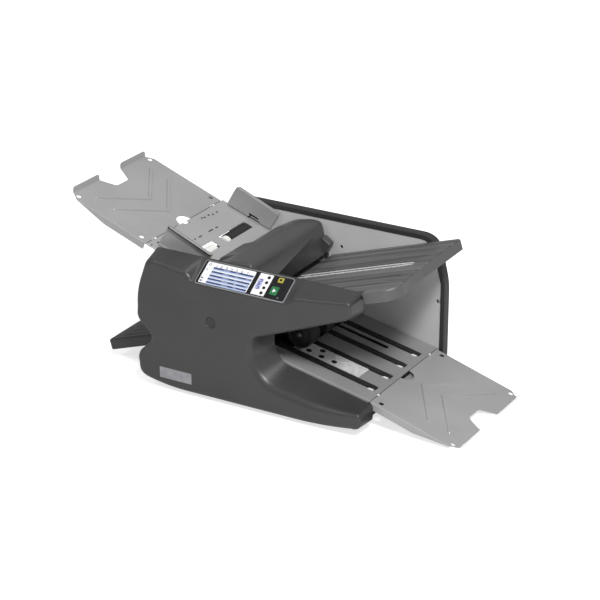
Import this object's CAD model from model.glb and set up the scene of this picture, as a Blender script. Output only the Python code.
# %% [markdown]
# A desk machine that folds sheets of paper. Its CAD model is loaded first as a fixed frame: it says
# where every piece is and how it moves. This script gives the machine its looks. Each shell that
# shows is made again as a fine mesh in the same place, and each piece gets a material.

# %% Load the frame
import math

import bmesh
import bpy
import numpy as np
from mathutils import Matrix, Vector
from mathutils.geometry import delaunay_2d_cdt


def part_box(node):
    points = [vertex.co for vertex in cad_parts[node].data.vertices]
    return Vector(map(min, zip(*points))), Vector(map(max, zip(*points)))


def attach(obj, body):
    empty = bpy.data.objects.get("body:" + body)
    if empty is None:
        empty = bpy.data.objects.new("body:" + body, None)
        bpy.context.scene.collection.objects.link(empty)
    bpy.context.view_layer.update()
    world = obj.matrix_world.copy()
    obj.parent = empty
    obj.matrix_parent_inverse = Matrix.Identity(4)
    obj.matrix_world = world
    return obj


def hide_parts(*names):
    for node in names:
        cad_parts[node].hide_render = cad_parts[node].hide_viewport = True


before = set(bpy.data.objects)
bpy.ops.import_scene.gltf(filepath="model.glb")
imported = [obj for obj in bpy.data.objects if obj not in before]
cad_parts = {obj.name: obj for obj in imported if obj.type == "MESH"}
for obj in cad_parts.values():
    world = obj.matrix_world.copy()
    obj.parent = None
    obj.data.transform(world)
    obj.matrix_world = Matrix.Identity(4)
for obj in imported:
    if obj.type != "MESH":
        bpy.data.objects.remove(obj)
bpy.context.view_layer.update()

MM = 0.001

# %% [markdown]
# Places. X runs along the paper path, Y to the rear and Z up, in millimetres. The frame gives the
# two depths that most pieces are measured from. The trays, the tables and the deck lie on six slopes,
# so a small function carries points from a slope's own axes (along, across, up) to the machine's.

# %% Depths and slopes
COVER_DEPTH = 60
BEVEL_RISE = 39
PLATE = 3
FRAME_WIDTH = 322
front_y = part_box("front_cover")[0].y / MM
rear_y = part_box("rear_cover")[1].y / MM
front_plate_y = front_y + COVER_DEPTH
inner_front_y = front_plate_y + PLATE
inner_rear_y = inner_front_y + FRAME_WIDTH
rear_cover_y = inner_rear_y + PLATE
paper_y = front_plate_y + 159
tray_front_y = front_plate_y + 1

# Each slope has its start in (x, z), its fall in degrees, and 1 or -1 for the way it runs along X.
FEED = ((-293, 319), 19.5, 1)
FEED_TRAY = ((-293, 319), 20.8, -1)
EXIT_TRAY = ((279, 68), 17.1, 1)
DECK = ((279, 68), 12, 1)
UPPER = ((0, 241), -17.8, 1)
LOWER = ((-52, 169.6), -18.5, 1)
panel_tilt = math.degrees(math.atan2(BEVEL_RISE, COVER_DEPTH))
panel_mid = (-14.5, (front_y + front_plate_y) / 2 - 1.8, 298.4)


def on_slope(part, slope):
    """Turns (u, y, w) by the slope about Y: x = x0 + u cos + w sin, z = z0 - u sin + w cos."""
    points, faces = part
    (x0, z0), degrees, mirror = slope
    s = math.radians(degrees)
    u, y, w = points.T
    x = x0 + mirror * u * math.cos(s) + w * math.sin(s)
    z = z0 - mirror * u * math.sin(s) + w * math.cos(s)
    return np.stack([x, y, z], 1), faces


def slope_point(slope, along, up):
    """The (x, z) of one point, by its distances along a slope and above it."""
    (x, _, z), = on_slope((np.array([[along, 0.0, up]]), []), slope)[0]
    return x, z


def on_panel(part):
    """Turns (x, y, z) of the flat panel by its tilt about X and carries it to the panel's middle."""
    points, faces = part
    s = math.radians(panel_tilt)
    x, y, z = points.T
    turned_y = y * math.cos(s) - z * math.sin(s)
    turned_z = y * math.sin(s) + z * math.cos(s)
    return np.stack([x, turned_y, turned_z], 1) + np.array(panel_mid), faces


print("front", front_y, "rear", rear_y, "panel tilt", round(panel_tilt, 2))

# %% [markdown]
# Surfaces. Every new shape is a set of points worked out with numpy. A solid is mostly a loft: a row
# of rings with equal numbers of points, joined by four-sided faces and closed by a flat face at each
# end. An outline is a short list of corners, each with the length that its rounding takes up.

# %% Outlines and lofts
def unit(v):
    """Each vector divided by its own length."""
    return v / np.linalg.norm(v, axis=-1, keepdims=True)


def rounded(corners, steps=10):
    """Each corner (x, y, length) becomes the parabola corner + back (1-t)^2 + ahead t^2, where back
    and ahead are the stated length along the two sides."""
    p = np.array(corners, float)
    at, length = p[:, None, :2], p[:, 2, None, None]
    back = unit(np.roll(p[:, :2], 1, 0) - p[:, :2])[:, None]
    ahead = unit(np.roll(p[:, :2], -1, 0) - p[:, :2])[:, None]
    t = np.linspace(0, 1, steps + 1)[None, :, None]
    return (at + length * (back * (1 - t) ** 2 + ahead * t ** 2)).reshape(-1, 2)


def inset(outline, distance):
    """Moves each point inwards, square to its two neighbours' chord. The sign of the enclosed area
    (half the sum of x dy - y dx) says on which side of the chord inwards is."""
    ahead = np.roll(outline, -1, 0)
    along = unit(ahead - np.roll(outline, 1, 0))
    side = np.sign((outline[:, 0] * ahead[:, 1] - outline[:, 1] * ahead[:, 0]).sum())
    left = np.stack([-along[:, 1], along[:, 0]], 1)
    return outline + side * left * np.broadcast_to(distance, len(outline))[:, None]


def rectangle(width, height, radius, centre=(0, 0), steps=5):
    """A rounded rectangle about a centre, counter-clockwise."""
    w, h = width / 2, height / 2
    at = np.array([(-w, -h), (w, -h), (w, h), (-w, h)]) + np.array(centre)
    return rounded(np.column_stack([at, np.full(4, radius * 1.2)]), steps)


def circle(radius, centre=(0, 0), steps=32):
    """centre + radius (cos a, sin a) for equal steps of a."""
    a = np.arange(steps) * 2 * np.pi / steps
    return np.array(centre) + radius * np.stack([np.cos(a), np.sin(a)], 1)


def loft(rings, closed=False):
    """Joins rings of equal point counts by quads. Open lofts get a flat face on both ends."""
    rings = np.asarray(rings, float)
    rows, cols = rings.shape[:2]
    i = np.arange(rows if closed else rows - 1)[:, None]
    j = np.arange(cols)[None, :]
    ahead, up = (j + 1) % cols, (i + 1) % rows
    quads = np.stack([i * cols + j, i * cols + ahead, up * cols + ahead, up * cols + j], -1)
    faces = quads.reshape(-1, 4).tolist()
    if not closed:
        faces += [list(range(cols)), list(range((rows - 1) * cols, rows * cols))]
    return rings.reshape(-1, 3), faces


def at_depth(outline, y):
    """An (x, z) outline stood up at depth y."""
    return np.column_stack([outline[:, 0], np.full(len(outline), y), outline[:, 1]])


def at_height(outline, z):
    """An (x, y) outline laid flat at height z."""
    return np.column_stack([outline, np.full(len(outline), z)])


def prism(outline, y0, y1):
    """An (x, z) outline carried straight along Y."""
    return loft([at_depth(outline, y0), at_depth(outline, y1)])


def slab(outline, z0, z1, edge=0.0):
    """An (x, y) outline carried up from z0 to z1, its upper edge turned with a small quarter round."""
    rings = [at_height(outline, z0)]
    for a in np.radians([0, 30, 60, 90]) if edge else [0]:
        rings.append(at_height(inset(outline, edge * (1 - np.cos(a))), z1 - edge * (1 - np.sin(a))))
    return loft(rings)


def box(low, high):
    """A plain block between two corners, used only to cut with."""
    (x0, y0, z0), (x1, y1, z1) = low, high
    return slab(np.array([(x0, y0), (x1, y0), (x1, y1), (x0, y1)], float), z0, z1)


def turned(profile, at, steps=48, closed=False):
    """(radius, y) pairs turned about the line through at = (x, z), parallel to Y."""
    r, y = np.array(profile, float).T
    a = np.arange(steps) * 2 * np.pi / steps
    x = at[0] + r[:, None] * np.cos(a)
    z = at[1] + r[:, None] * np.sin(a)
    return loft(np.stack([x, np.broadcast_to(y[:, None], x.shape), z], -1), closed)


def together(*parts):
    """Several parts as one list of points and one list of faces."""
    starts = np.cumsum([0] + [len(points) for points, _ in parts])
    faces = [[i + start for i in face] for start, (_, fs) in zip(starts, parts) for face in fs]
    return np.concatenate([points for points, _ in parts]), faces


# %% [markdown]
# Sheet metal. A real tray is punched flat from a sheet, then its ribs are pressed and its edges bent.
# The mesh follows the same order: the flat blank is filled with triangles that keep its outline, holes
# and bend lines, then every point is carried to its bent place, and the thickness is added last.

# %% Flat blanks and bends
def inside(points, loops):
    """Even-odd rule: a point is inside if a ray towards +X crosses an odd number of outline edges."""
    x, y = points[:, :1], points[:, 1:]
    hits = np.zeros(len(points), int)
    for loop in loops:
        a, b = loop, np.roll(loop, -1, 0)
        run = np.where(a[:, 1] == b[:, 1], 1.0, b[:, 1] - a[:, 1])
        cross = a[:, 0] + (y - a[:, 1]) * (b[:, 0] - a[:, 0]) / run
        hits += (((a[:, 1] > y) != (b[:, 1] > y)) & (x < cross)).sum(1)
    return hits % 2 == 1


def blank(loops, lines=(), extra=np.zeros((0, 2))):
    """Triangles that fill the first loop less the others, with every line kept as edges."""
    chains = [np.asarray(c, float) for c in (*loops, *lines)]
    starts = np.cumsum([0] + [len(c) for c in chains])
    edges = []
    for k, (start, chain) in enumerate(zip(starts, chains)):
        n = len(chain)
        i = np.arange(n if k < len(loops) else n - 1)
        edges += np.stack([start + i, start + (i + 1) % n], 1).tolist()
    flat = np.concatenate(chains + [extra])
    found = delaunay_2d_cdt(list(map(Vector, flat.tolist())), edges, [], 0, 1e-6)
    points = np.array([tuple(v) for v in found[0]])
    triangles = np.array(found[2])
    triangles = triangles[inside(points[triangles].mean(1), chains[:len(loops)])]
    used, triangles = np.unique(triangles, return_inverse=True)
    return points[used], triangles.reshape(-1, 3)


def fold(distance, degrees, radius):
    """Where a point of the blank goes, by its distance past the bend line: first round an arc of
    the radius, then straight on. Returns how far along it ends and how far out of the plane."""
    full = math.radians(degrees)
    turn = np.clip(distance / radius, 0, full)
    rest = np.maximum(distance - radius * full, 0)
    along = np.minimum(distance, 0) + radius * np.sin(turn) + rest * math.cos(full)
    return along, radius * (1 - np.cos(turn)) + rest * math.sin(full)


def bend_lines(degrees, radius):
    """Distances past the bend line at which the blank needs an edge: five equal steps of the arc."""
    return np.linspace(0, math.radians(degrees) * radius, 5)


def pressed(loops, shape, thickness, lines=(), extra=np.zeros((0, 2))):
    """Fills the blank, carries it to shape(flat points), and adds the thickness below it."""
    flat, triangles = blank(loops, lines, extra)
    top = shape(flat)
    a, b, c = (top[triangles[:, k]] for k in range(3))
    normals = np.zeros_like(top)
    np.add.at(normals, triangles, np.cross(b - a, c - a)[:, None])
    n = len(top)
    edges = np.concatenate([triangles[:, [0, 1]], triangles[:, [1, 2]], triangles[:, [2, 0]]])
    rim = edges[~np.isin(edges @ [n, 1], edges @ [1, n])]
    sides = np.column_stack([rim[:, 1], rim[:, 0], rim[:, 0] + n, rim[:, 1] + n])
    faces = triangles.tolist() + (triangles[:, ::-1] + n).tolist() + sides.tolist()
    return np.concatenate([top, top - unit(normals) * thickness]), faces


# %% [markdown]
# Pieces. A part becomes an object whose place is in its points. Cuts are made with exact booleans and
# applied at once. The shading is smooth except over edges that are really sharp.

# %% Objects, cuts and dressing
def raw(name, part, triangles=False):
    """A mesh object from a part in millimetres, its doubles merged and its faces turned outwards.
    A mesh that is going to be cut is split to triangles, because they are always flat."""
    points, faces = part
    mesh = bpy.data.meshes.new(name)
    mesh.from_pydata((points * MM).tolist(), [], faces)
    worked = bmesh.new()
    worked.from_mesh(mesh)
    bmesh.ops.remove_doubles(worked, verts=worked.verts, dist=2e-6)
    bmesh.ops.recalc_face_normals(worked, faces=worked.faces)
    if triangles:
        bmesh.ops.triangulate(worked, faces=worked.faces)
    worked.to_mesh(mesh)
    worked.free()
    piece = bpy.data.objects.new(name, mesh)
    bpy.context.scene.collection.objects.link(piece)
    return piece


def apply_modifiers(piece):
    """Keeps the piece's modified mesh as its own."""
    found = piece.evaluated_get(bpy.context.evaluated_depsgraph_get())
    mesh = bpy.data.meshes.new_from_object(found)
    piece.modifiers.clear()
    piece.data = mesh


def cut(piece, *parts, operation="DIFFERENCE"):
    """Takes each part away from the piece, or adds it."""
    for part in parts:
        tool = raw("tool", part, triangles=True)
        modifier = piece.modifiers.new("cut", "BOOLEAN")
        modifier.operation = operation
        modifier.solver = "EXACT"
        modifier.object = tool
        apply_modifiers(piece)
        bpy.data.objects.remove(tool)
    return piece


def dress(piece, finish, body="frame", replaces=(), sharp=35):
    """Gives the piece its material, shades it smooth up to the sharp angle, and makes it ride on a
    body. Its normals are weighted by area, so that flat faces look flat beside small roundings."""
    mesh = piece.data
    mesh.materials.clear()
    mesh.materials.append(finish)
    mesh.polygons.foreach_set("use_smooth", np.ones(len(mesh.polygons), bool))
    mesh.set_sharp_from_angle(angle=math.radians(sharp))
    modifier = piece.modifiers.new("normals", "WEIGHTED_NORMAL")
    modifier.keep_sharp = True
    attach(piece, body)
    if replaces:
        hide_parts(*replaces)
    print(piece.name, "faces", len(mesh.polygons), "rides on", body)


# %% [markdown]
# Materials. Each one starts from what the real surface is and how it was made. The helper adds one
# node with its settings and links. Colours are written as sRGB hex values and turned to linear light.

# %% Node helper and colours
def linear(hex_colour):
    """sRGB hex to linear: c/12.92 below 0.04045, otherwise ((c+0.055)/1.055)^2.4."""
    c = np.array([int(hex_colour[i:i + 2], 16) for i in (1, 3, 5)]) / 255
    return (*np.where(c <= 0.04045, c / 12.92, ((c + 0.055) / 1.055) ** 2.4).tolist(), 1.0)


def add(tree, kind, inputs=None, **settings):
    """Adds a node. An input is a value, or another node's output that is linked to it."""
    made = tree.nodes.new(kind)
    for key, value in settings.items():
        setattr(made, key, value)
    for key, value in (inputs or {}).items():
        if isinstance(value, bpy.types.NodeSocket):
            tree.links.new(value, made.inputs[key])
        else:
            made.inputs[key].default_value = value
    return made


def new_finish(name, **fixed):
    """A material with a principled shader whose fixed values sit on its own sockets."""
    material = bpy.data.materials.new(name)
    material.use_nodes = True
    tree = material.node_tree
    tree.nodes.clear()
    inputs = {key.replace("_", " "): value for key, value in fixed.items()}
    shader = add(tree, "ShaderNodeBsdfPrincipled", inputs)
    add(tree, "ShaderNodeOutputMaterial", {"Surface": shader.outputs[0]})
    return material, tree, shader, add(tree, "ShaderNodeTexCoord").outputs["Object"]


# %% [markdown]
# Patterns. Every finish is drawn with soft noise on the piece's own coordinates, so it needs no image
# and stays put when the piece moves. Noise runs from 0 to 1, but most of it lies between 0.3 and 0.7,
# and those two shares are where the darker and the lighter end of a finish are set.

# %% Patterns and relief
MOST_NOISE = (0.3, 0.7)
ROUGHNESS_EITHER_WAY = 0.06


def noise(tree, place, size, detail=2.0, stretch=(1, 1, 1)):
    """Soft random pattern whose blobs are size millimetres across, longer where stretch is small."""
    scale = tuple(s / (size * MM) for s in stretch)
    at = add(tree, "ShaderNodeMapping", {"Vector": place, "Scale": scale})
    inputs = {"Vector": at.outputs[0], "Scale": 1.0, "Detail": detail}
    return add(tree, "ShaderNodeTexNoise", inputs).outputs[0]


def spread(tree, share, low, high, steps=MOST_NOISE):
    """Maps a pattern to numbers between low and high."""
    inputs = {"Value": share, "From Min": steps[0], "From Max": steps[1], "To Min": low, "To Max": high}
    return add(tree, "ShaderNodeMapRange", inputs).outputs[0]


def tones(tree, share, dark, light):
    """Maps a pattern to colours between two hex tones."""
    ramp = add(tree, "ShaderNodeValToRGB", {"Fac": share})
    for element, at, colour in zip(ramp.color_ramp.elements, MOST_NOISE, (dark, light)):
        element.position = at
        element.color = linear(colour)
    return ramp.outputs[0]


def relief(tree, shader, *layers):
    """Bumps in layers of (pattern, depth in millimetres), each on top of the last."""
    normal = None
    for pattern, depth in layers:
        inputs = {"Height": pattern, "Distance": depth * MM, "Strength": 1.0}
        if normal is not None:
            inputs["Normal"] = normal
        normal = add(tree, "ShaderNodeBump", inputs).outputs[0]
    tree.links.new(normal, shader.inputs["Normal"])


def surface(name, dark, light, patch, rough, grain, depth, fixed=None, stretch=(1, 1, 1)):
    """Two close tones in wide patches, roughness that follows a fine grain, and the grain's relief.
    The patch, the grain and its depth are in millimetres. Stretch draws the grain out into lines."""
    material, tree, shader, place = new_finish(name, **(fixed or {}))
    clouds = noise(tree, place, patch, 3.0)
    fine = noise(tree, place, grain, 2.0, stretch)
    low, high = rough - ROUGHNESS_EITHER_WAY, rough + ROUGHNESS_EITHER_WAY
    tree.links.new(tones(tree, clouds, dark, light), shader.inputs["Base Color"])
    tree.links.new(spread(tree, fine, low, high), shader.inputs["Roughness"])
    relief(tree, shader, (fine, depth))
    return material


# %% [markdown]
# Plastics. The side covers, the hood and the lower fold table are moulded ABS with a spark-eroded
# grain: dark grey, matt, with a broad soft sheen. The real grain is about half a millimetre and is
# drawn at 0.7 mm so that it shows. The hood is a little paler. The rear cover, the dimple plug and the
# rear plate's edging are duller. The bezel is sprayed, the pickup collars are turned from white nylon
# and the gears are cut from cream nylon. The keys are smoother and take a clearer highlight.

# %% Moulded and turned plastics
cover_abs = surface("moulded_abs_cover", "#3a3a3a", "#3f3f3f", 90, 0.36, 0.7, 0.012)
rear_abs = surface("moulded_abs_rear_cover", "#303030", "#353535", 90, 0.50, 0.7, 0.012)
lower_abs = surface("moulded_abs_lower_table", "#343434", "#3a3a3a", 70, 0.46, 0.7, 0.012)
hood_abs = surface("moulded_abs_hood", "#464646", "#4b4b4b", 80, 0.36, 0.7, 0.010)
bezel_abs = surface("painted_bezel_plastic", "#85878a", "#8f9194", 25, 0.35, 0.5, 0.006)
roller_nylon = surface("turned_roller_nylon", "#f0efec", "#f8f7f4", 12, 0.40, 0.5, 0.006)
key_black = surface("moulded_key_black", "#131313", "#1c1c1c", 8, 0.40, 0.3, 0.004)
key_green = surface("moulded_key_green", "#256b40", "#2f7a4b", 8, 0.36, 0.3, 0.004)
key_yellow = surface("moulded_key_yellow", "#a8a038", "#b5ad46", 8, 0.36, 0.3, 0.004)
inlet_plastic = surface("moulded_inlet_polyamide", "#161616", "#1f1f1f", 12, 0.45, 0.4, 0.006)
rocker_plastic = surface("moulded_rocker_plastic", "#202020", "#2a2a2a", 12, 0.30, 0.4, 0.004)
gear_nylon = surface("cut_gear_nylon", "#d9d4c2", "#e6e1d0", 15, 0.42, 0.6, 0.010)
print("plastics", len(bpy.data.materials))

# %% [markdown]
# The upper fold table is the same ABS, but paper and sleeves have polished it in streaks along its
# length. A wave texture would be too regular, so noise 8 mm wide is drawn out to about 670 mm: it mixes
# a dark and a pale tone and lifts low ridges. It is kept to the lid by the way the surface faces,
# because the skirt round the lid is never touched and stays plain.

# %% Streaked table plastic
STREAK_WIDTH = 8
STREAK_STRETCH = 0.012
PLAIN_SHARE = 0.56


def streaked_plastic(name, dark, light):
    """Streaks where the true normal's Z is over 0.8, a plain share of them below 0.6."""
    material, tree, shader, place = new_finish(name)
    streaks = noise(tree, place, STREAK_WIDTH, 2.0, (STREAK_STRETCH, 1, STREAK_STRETCH))
    normal = add(tree, "ShaderNodeNewGeometry").outputs["True Normal"]
    facing = add(tree, "ShaderNodeSeparateXYZ", {"Vector": normal}).outputs["Z"]
    lid_only = spread(tree, facing, 0.0, 1.0, (0.6, 0.8))
    streaks = add(tree, "ShaderNodeMix", {0: lid_only, 2: PLAIN_SHARE, 3: streaks}).outputs[0]
    fine = noise(tree, place, 0.7)
    tree.links.new(tones(tree, streaks, dark, light), shader.inputs["Base Color"])
    tree.links.new(spread(tree, fine, 0.28, 0.40), shader.inputs["Roughness"])
    relief(tree, shader, (fine, 0.012), (streaks, 0.3))
    return material


table_abs = streaked_plastic("streaked_abs_fold_table", "#2e2e2e", "#6e6e6e")
print("streaks", STREAK_WIDTH, "mm wide and", round(STREAK_WIDTH / STREAK_STRETCH), "mm long")

# %% [markdown]
# Coated and plated metal. The trays, the feed table, the deck and the guides are steel sheet with a grey
# powder coat, whose skin has a faint orange-peel of about 1.5 mm. The feed table's coat is glossier and
# mirrors the guide that stands on it. The fold channels are phosphated nearly black and hardly shine.
# Bare steel is brushed or turned: its noise is stretched into lines, and its roughness follows them.
# Screws are zinc plated, the bushes are sintered bronze, and the label is satin aluminium.

# %% Sheet and metal finishes
steel = {"Metallic": 1.0}
faint_metal = {"Metallic": 0.1}
sheet_coat = surface("powder_coated_sheet", "#a5a5a5", "#adadad", 120, 0.36, 1.5, 0.010, faint_metal)
table_coat = surface("semi_gloss_coated_table", "#b8b8b8", "#bebebe", 110, 0.16, 2.5, 0.0015,
                     {"Metallic": 0.3})
deck_coat = surface("powder_coated_deck", "#9a9a9a", "#a2a2a2", 100, 0.42, 1.5, 0.010, faint_metal)
guide_coat = surface("powder_coated_guide", "#9b9b9b", "#a3a3a3", 60, 0.42, 1.5, 0.010,
                     {"Metallic": 0.15})
plate_coat = surface("painted_frame_plate", "#c6c6c6", "#cecece", 110, 0.48, 1.5, 0.010)
pan_coat = surface("painted_base_pan", "#5c5c5e", "#666668", 60, 0.50, 1.5, 0.010)
bare_steel = surface("turned_bright_steel", "#a8a9ab", "#bcbdbf", 12, 0.28, 0.4, 0.004, steel,
                     stretch=(1, 0.08, 1))
rail_steel = surface("brushed_rail_steel", "#c9c9c9", "#e2e2e2", 9, 0.36, 0.4, 0.010,
                     {"Metallic": 0.3}, stretch=(0.1, 1, 1))
deck_steel = surface("brushed_wear_plate", "#cfcfcf", "#f2f2f2", 9, 0.40, 0.5, 0.006,
                     stretch=(0.25, 1, 1))
channel_dark = surface("phosphated_channel_sheet", "#222222", "#2a2a2a", 40, 0.55, 0.8, 0.006)
label_metal = surface("satin_label_aluminium", "#9c9ca0", "#b2b2b6", 20, 0.38, 0.3, 0.003, steel,
                      stretch=(0.06, 1, 1))
screw_zinc = surface("zinc_plated_screw", "#8e9092", "#a5a7a9", 4, 0.34, 0.3, 0.004, steel)
bush_bronze = surface("sintered_bronze_bush", "#8c6a3c", "#a8844e", 6, 0.42, 0.4, 0.008, steel)
motor_paint = surface("enamelled_motor_case", "#3a3b3e", "#454649", 30, 0.40, 1.2, 0.010)
print("materials so far", len(bpy.data.materials))

# %% [markdown]
# Rubber. Belts, rollers and feet are black rubber: nearly no shine, a dusty paler cast where paper and
# hands have rubbed it. The belts are ground across, so their fine lines run across the travel. The
# separator pad is brown cork rubber.

# %% Rubbers
belt_rubber = surface("ground_belt_rubber", "#1e1e1e", "#2a2a2a", 14, 0.72, 0.5, 0.020,
                      stretch=(1, 0.15, 1))
roller_rubber = surface("ground_roller_rubber", "#3a3a3a", "#474747", 18, 0.70, 0.5, 0.020,
                        stretch=(1, 0.2, 1))
wheel_rubber = surface("moulded_wheel_rubber", "#0d0d0d", "#131313", 16, 0.66, 0.6, 0.015)
foot_rubber = surface("moulded_foot_rubber", "#1a1a1a", "#242424", 10, 0.74, 0.6, 0.020)
pad_dark = surface("black_edge_rubber", "#1b1b1b", "#232323", 14, 0.6, 0.5, 0.010)
pad_rubber = surface("cork_rubber_pad", "#5a3a26", "#74503a", 2.5, 0.80, 0.8, 0.040)

# %% [markdown]
# The panel's film is polyester, printed on its back: flat colours under a thin glossy skin. Each ink
# is a material of its own, with a little unevenness that keeps it from looking like a screen.

# %% Film and inks
film_black = surface("printed_film_black", "#151517", "#1b1b1e", 30, 0.24, 0.4, 0.002)
ink_white = surface("printed_ink_white", "#eeeef0", "#f6f6f8", 30, 0.26, 0.4, 0.002)
ink_sky = surface("printed_ink_sky", "#aab9dc", "#b6c4e4", 20, 0.26, 0.4, 0.002)
ink_slate = surface("printed_ink_slate", "#36436a", "#424f78", 16, 0.26, 0.4, 0.002)
ink_violet = surface("display_digit_violet", "#2b2c78", "#35378a", 10, 0.24, 0.4, 0.002)
mark_grey = surface("printed_ink_grey", "#262626", "#2e2e2e", 16, 0.4, 0.4, 0.002)
window_film = surface("display_window_acrylic", "#b9bbe0", "#c8caec", 12, 0.12, 0.4, 0.001)
board_green = surface("solder_mask_laminate", "#1f5a38", "#2a6b45", 6, 0.35, 0.4, 0.004)
print("materials", len(bpy.data.materials))

# %% [markdown]
# Side covers. Each is a deep moulded shell. Its front is flat, its edge is well rounded, and its side
# walls lean out to the rim against the steel plate. The outline is a list of corners; between the face
# and the rim it blends from one outline to the other, and the edge is a quarter circle whose radius
# changes from corner to corner. The inside is the same surface, one wall further in. A bevel modifier
# has one width unless every edge has a weight, and here the width is simply part of the outline.

# %% Cover surface
WALL = 3.0
CORNER_STEPS = 10

# Corners in (x, z), then how long the rounding of the corner is, then the radius of the moulded edge.
front_face = [(-283, 27, 26, 12), (-205, 10, 50, 12), (194, 10, 72, 12), (287, 25, 18, 9),
              (287, 63, 14, 8), (184, 51, 60, 12), (39, 74, 45, 12), (5, 142, 23, 12),
              (17, 179, 14, 12), (261, 277, 16, 9), (261, 316, 14, 8), (119, 298, 12, 8),
              (106, 280, 8, 3), (-135, 280, 8, 3), (-147, 299, 12, 8), (-250, 317, 25, 10),
              (-285, 230, 40, 12), (-282, 163, 14, 8), (-245, 133, 8, 6), (-245, 115, 8, 6),
              (-282, 81, 14, 8)]
front_rim = [(-283, 27, 26), (-205, 10, 50), (194, 10, 72), (287, 22, 14), (287, 62, 8), (184, 84, 60),
             (67, 109, 14), (39, 144, 22), (42, 178, 8), (261, 270, 16), (261, 318, 12), (119, 319, 6),
             (106, 319, 6), (-135, 319, 5), (-147, 319, 6), (-264, 319, 12), (-285, 230, 40),
             (-282, 163, 14), (-245, 133, 8), (-245, 115, 8), (-282, 81, 14)]
rear_face = [(-283, 27, 26, 10), (-205, 11, 50, 10), (250, 11, 20, 10), (292, 11, 14, 10),
             (292, 225, 24, 10), (265, 334, 40, 10), (-248, 334, 30, 10), (-285, 230, 40, 10)]


def cover_shell(face, rim, y_face, y_rim):
    """Rings from the flat face round a quarter circle of radius e to the rim: at angle a the depth
    is e (1 - sin a) and the inset e (1 - cos a). The inner skin uses the radius less the wall."""
    face_line = rounded([c[:3] for c in face], CORNER_STEPS)
    rim_line = rounded([c[:3] for c in rim], CORNER_STEPS)
    edge = np.repeat([c[3] for c in face], CORNER_STEPS + 1).astype(float)
    depth = abs(y_rim - y_face)
    side = np.sign(y_rim - y_face)

    def ring(y, inwards):
        """The outline blended for depth y and moved inwards."""
        share = (y / depth)[:, None]
        line = inset(face_line * (1 - share) + rim_line * share, inwards)
        return np.column_stack([line[:, 0], y_face + side * y, line[:, 1]])

    def skin(wall):
        """Nine rings round the edge, of which the first lies in the face, and four down to the rim."""
        radius = np.maximum(edge - wall, 0.4)
        turns = np.linspace(np.pi / 2, 0, 9)
        rings = [ring(edge - radius * np.sin(a), edge - radius * np.cos(a)) for a in turns]
        rings[0][:, 1] = y_face + side * wall
        return rings + [ring(edge + (depth - edge) * share, wall) for share in (0.25, 0.5, 0.75, 1.0)]

    return loft([*skin(0.0), *skin(WALL)[::-1]])


def rod(at, radius, y0, y1, steps=40):
    """A plain round cutter along Y."""
    return turned([(radius, y0), (radius, y1)], at, steps)


# %% [markdown]
# The front cover has a shallow round dimple, a pocket for the label plate and an opening behind the
# control panel. They are cut after the shell is closed, as a drill would.

# %% Front cover
dimple_at, dimple_r = (-86, 195), 12.5
label_at, label_pocket_size = (-181, 46), (84.6, 26.6)
panel_w, panel_h = 226, 65
opening_w, opening_h = panel_w - 12, panel_h - 8

front_cover = raw("front_cover_shell", cover_shell(front_face, front_rim, front_y, front_plate_y), True)
dimple = turned([(dimple_r + 0.9, front_y - 1), (dimple_r, front_y + 0.9), (dimple_r - 0.5, front_y + 1.7),
                 (dimple_r - 1.6, front_y + 2.2)], dimple_at, 64)
label_pocket = prism(rectangle(*label_pocket_size, 2.3, label_at), front_y - 1, front_y + 1)
opening = box((-opening_w / 2, -opening_h / 2, -12), (opening_w / 2, opening_h / 2, 12))
cut(front_cover, dimple, label_pocket, on_panel(opening))
dress(front_cover, cover_abs, replaces=["front_cover"])

# %% [markdown]
# The rear cover is a plain tub of the same plastic with the duller finish. Its face and its rim have the
# same outline, so its walls are straight. It carries the mains inlet, and five screws in round pockets.

# %% Rear cover
screw_at = [(-260, 45), (240, 30), (240, 170), (-230, 300), (220, 300)]
SCREW_POCKET_R = 4.2
inlet_at, inlet_size = (-200, 60), (48.6, 28.6)
rear_cover = raw("rear_cover_shell", cover_shell(rear_face, rear_face, rear_y, rear_cover_y), True)
inlet_hole = prism(rectangle(*inlet_size, 1.2, inlet_at), rear_y - 8, rear_y + 2)
screw_pockets = together(*[rod(p, SCREW_POCKET_R, rear_y - 1.5, rear_y + 1) for p in screw_at])
cut(rear_cover, inlet_hole, screw_pockets)
dress(rear_cover, rear_abs, replaces=["rear_cover"])

# %% [markdown]
# The hood covers the feed rollers. It is one moulded arch with rounded shoulders at both ends, a brow
# over the middle of the paper path and a small lug at the rear by its hinge. The arch is a section
# carried along Y whose ends are drawn in with a quarter circle, which keeps its long edges smooth.

# %% Hood arch
hood_y = (front_plate_y + 6, front_plate_y + 318)
hood_pivot = (-8, 238)
# Corners in (x, z), then the rounding of the corner, then how far the ends are drawn in there.
hood_section = [(-151, 272, 4, 0.7), (-141, 283, 5, 2.5), (-90, 313, 16, 8), (-45, 323, 13, 9),
                (-19, 321, 12, 8), (-4, 246, 2, 0.4)]
hood_lug = [(-12, 247, 1, 0.3), (-4, 247, 2, 0.8), (12, 275, 5, 2.5), (-12, 290, 4, 0.5)]
LUG_WIDTH = 22


def drawn_ends(corners, y0, y1, corner_steps=12, steps=6):
    """An (x, z) outline carried along Y. Near each end the point moves in by e (1 - sin a) while it
    stands e (1 - cos a) from the end, where e is its corner's fourth value."""
    outline = rounded([c[:3] for c in corners], corner_steps)
    e = np.repeat([c[3] for c in corners], corner_steps + 1).astype(float)
    rings = []
    for y, side in ((y0, 1), (y1, -1)):
        turns = np.linspace(0, np.pi / 2, steps + 1)[::side]
        for a in turns:
            q = inset(outline, e * (1 - np.sin(a)))
            rings.append(np.column_stack([q[:, 0], y + side * e * (1 - np.cos(a)), q[:, 1]]))
    return loft(rings)


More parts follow.
